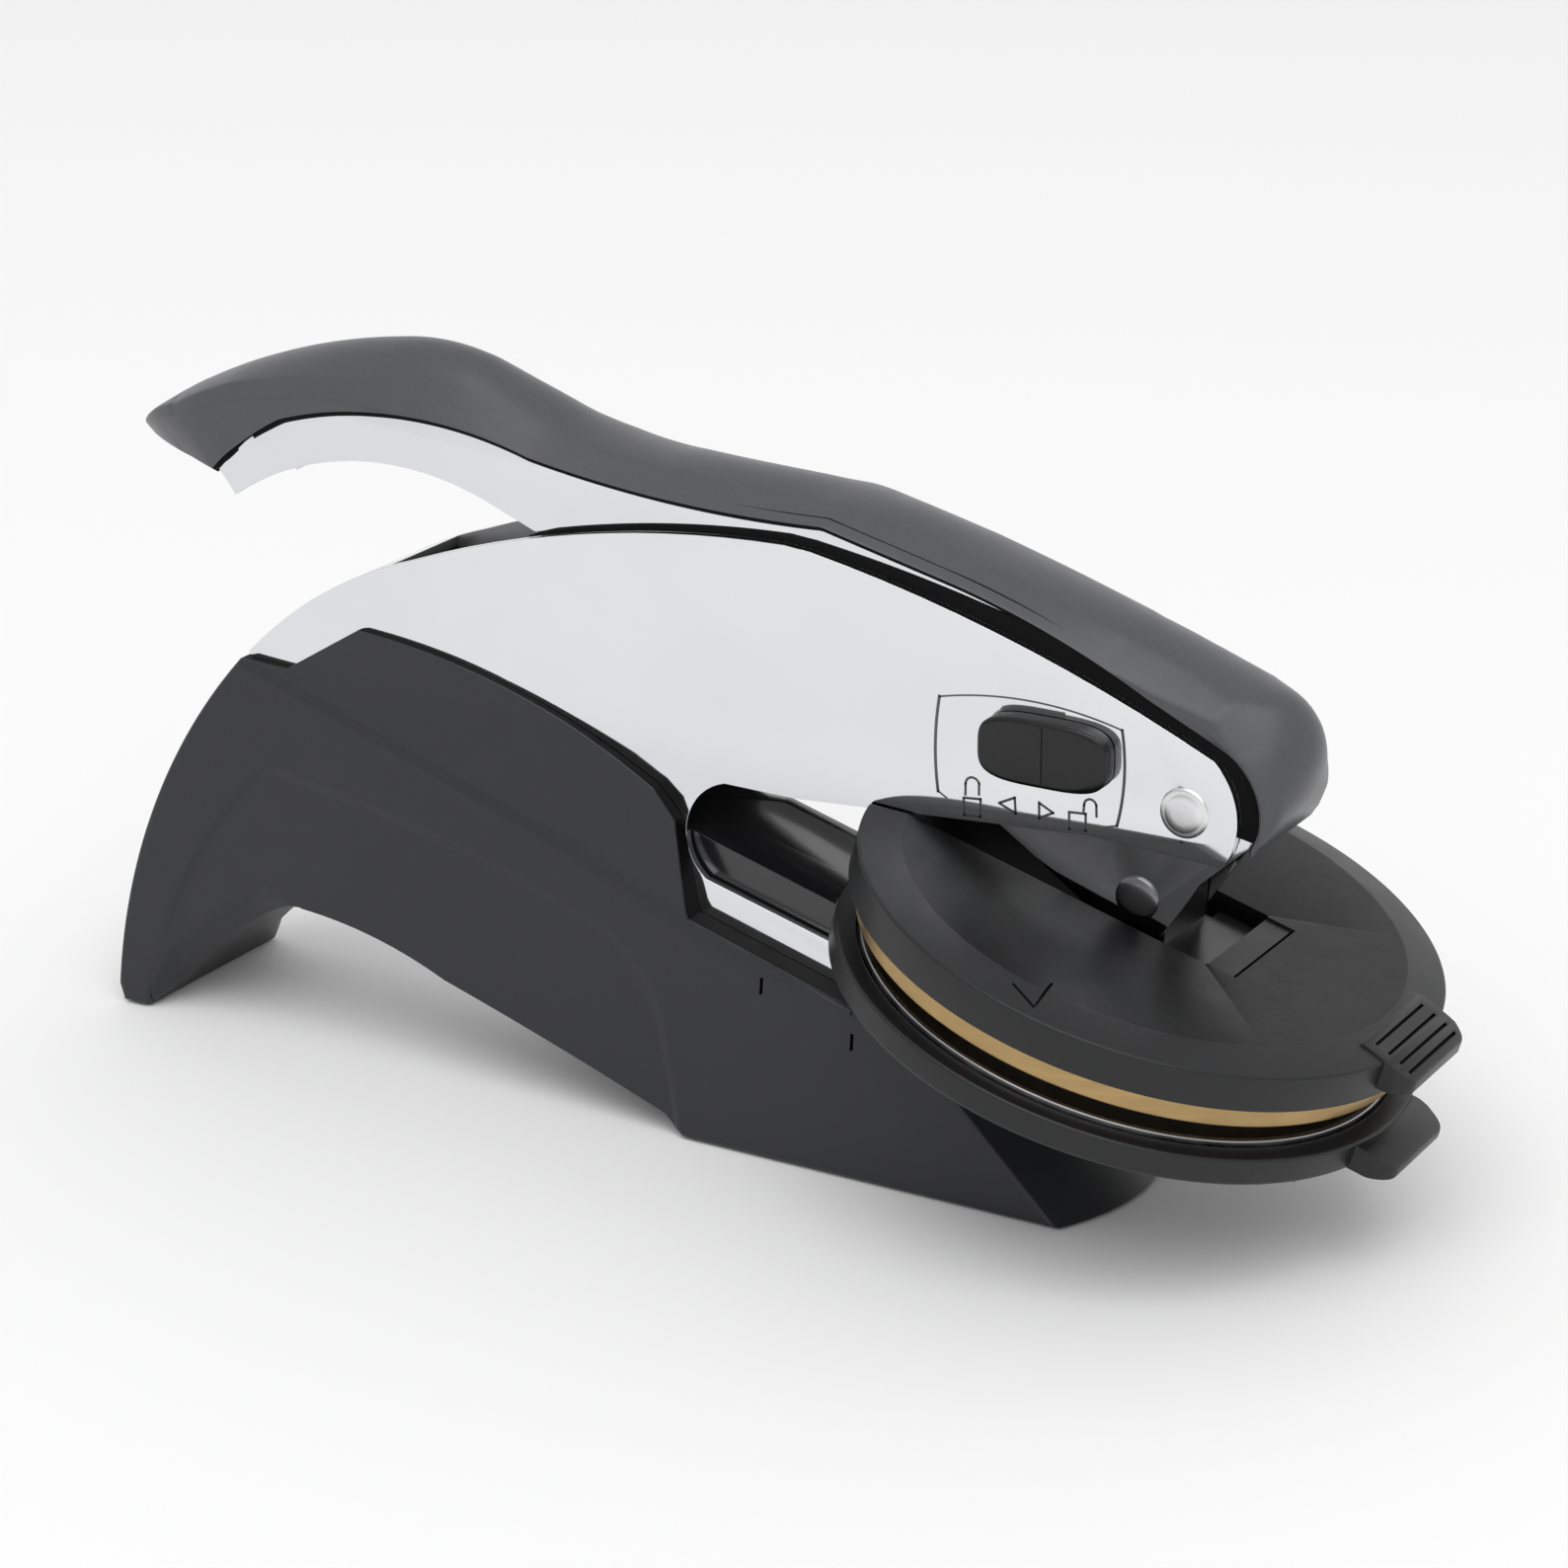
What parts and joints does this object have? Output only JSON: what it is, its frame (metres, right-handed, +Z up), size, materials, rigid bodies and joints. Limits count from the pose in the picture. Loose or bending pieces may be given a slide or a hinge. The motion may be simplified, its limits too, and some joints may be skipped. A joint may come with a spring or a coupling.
{
  "type": "seal embosser",
  "caption": "Hand-held desk seal embosser: bright sheet frame in a moulded base, long lever handle with a cover, slide lock, and a slide-in insert with round dies.",
  "frame": {"origin": "on the desk plane, in the middle plane, under the front pad; the desk is Z = 0", "axes": "+X forward to the dies, +Y to the far side (lock button faces -Y), +Z up"},
  "size_m": [0.1633, 0.064, 0.0834],
  "materials": {
    "base_plastic": "black moulded plastic, fine satin grain",
    "cover_plastic": "black moulded plastic, soft satin",
    "frame_chrome": "bright chrome plate",
    "lever_chrome": "bright chrome plate",
    "bare_steel": "bare turned steel",
    "black_steel": "blackened steel",
    "brass": "satin brass",
    "silver_plate": "satin aluminium",
    "counter_die": "hard ivory plastic",
    "insert_plastic": "black moulded plastic, spark-eroded grain",
    "slide_plastic": "black moulded plastic, glossy",
    "button_plastic": "black moulded plastic, semi gloss",
    "rubber_foot": "soft black rubber"
  },
  "bodies": {
    "base": {"base_body": "base_plastic", "base_plate": "base_plastic", "front_pad": "rubber_foot", "rear_pad": "rubber_foot", "base_screws": "bare_steel", "frame_shell": "frame_chrome", "anvil_bar": "bare_steel", "jaw_pins": "bare_steel", "rear_block": "silver_plate", "frame_screws": "bare_steel", "stop_pin": "bare_steel", "anchor_pin": "bare_steel", "pivot_axle": "frame_chrome", "return_spring": "bare_steel"},
    "handle": {"lever": "lever_chrome", "handle_cover": "cover_plastic", "cover_screws": "bare_steel", "pivot_bush": "brass", "press_pin": "black_steel"},
    "shoe": {"press_shoe": "black_steel"},
    "lock": {"lock_button": "button_plastic", "lock_stem": "bare_steel", "lock_clip": "bare_steel"},
    "insert": {"lower_disc": "insert_plastic", "slide_block": "slide_plastic", "lower_plate": "silver_plate", "lower_die": "counter_die", "disc_screws": "bare_steel", "guide_posts": "bare_steel", "lift_springs": "bare_steel"},
    "upper": {"upper_disc": "insert_plastic", "brass_plate": "brass", "upper_die": "brass", "die_screws": "bare_steel"}
  },
  "joints": [
    {"name": "handle_hinge", "type": "hinge", "parent": "base", "child": "handle", "pos_m": [0.0516, 0, 0.0475], "axis": [0, 1, 0], "range_deg": [0, 24]},
    {"name": "shoe_hinge", "type": "hinge", "parent": "handle", "child": "shoe", "pos_m": [0.046, 0, 0.0367], "axis": [0, 1, 0], "range_deg": [-24, 0]},
    {"name": "insert_slide", "type": "slide", "parent": "base", "child": "insert", "axis": [0.9617, 0, -0.274], "range_m": [0, 0.038]},
    {"name": "disc_lift", "type": "slide", "parent": "insert", "child": "upper", "axis": [0.274, 0, 0.9617], "range_m": [0, 0.002], "deforming": ["lift_springs"]},
    {"name": "lock_slide", "type": "slide", "parent": "base", "child": "lock", "axis": [-1, 0, 0], "range_m": [0, 0.004]}
  ],
  "couplings": [
    {"joint": "shoe_hinge", "follows": "handle_hinge", "ratio": -1},
    {"joint": "disc_lift", "follows": "handle_hinge", "m_per_rad": 0.0047746}
  ]
}
